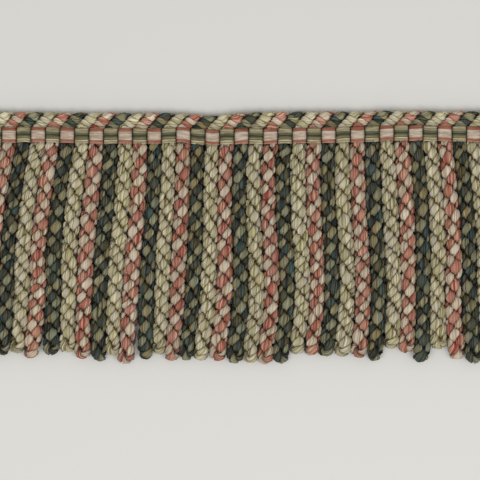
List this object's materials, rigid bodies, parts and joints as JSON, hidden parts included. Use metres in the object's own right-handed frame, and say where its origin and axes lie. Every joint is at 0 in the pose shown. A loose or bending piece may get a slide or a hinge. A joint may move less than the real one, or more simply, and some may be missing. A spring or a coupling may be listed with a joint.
{
  "type": "length of bullion fringe",
  "caption": "Cut length of bullion fringe: thick twisted yarn ropes, each folded round at its foot, hang side by side from a narrow woven band with a corded crest.",
  "frame": {"origin": "middle of the footprint, on the surface that the fringe lies on", "axes": "+X along the heading, +Y from the ropes' feet to the corded crest, +Z out of the face"},
  "size_m": [0.3475, 0.1608, 0.0092],
  "materials": {
    "rope_yarn": "soft twisted yarn with a low silky sheen; ropes repeat in ecru, rose with cream, and deep green with sage",
    "band_threads": "fine smooth threads woven in blocks, rose with cream and olive with ecru by turns",
    "crest_yarn": "soft twisted yarn with a low silky sheen, in the same three colourings as the ropes"
  },
  "bodies": {
    "root": {"bullion_ropes": "rope_yarn", "heading_band": "band_threads", "crest_cords": "crest_yarn"}
  },
  "joints": []
}
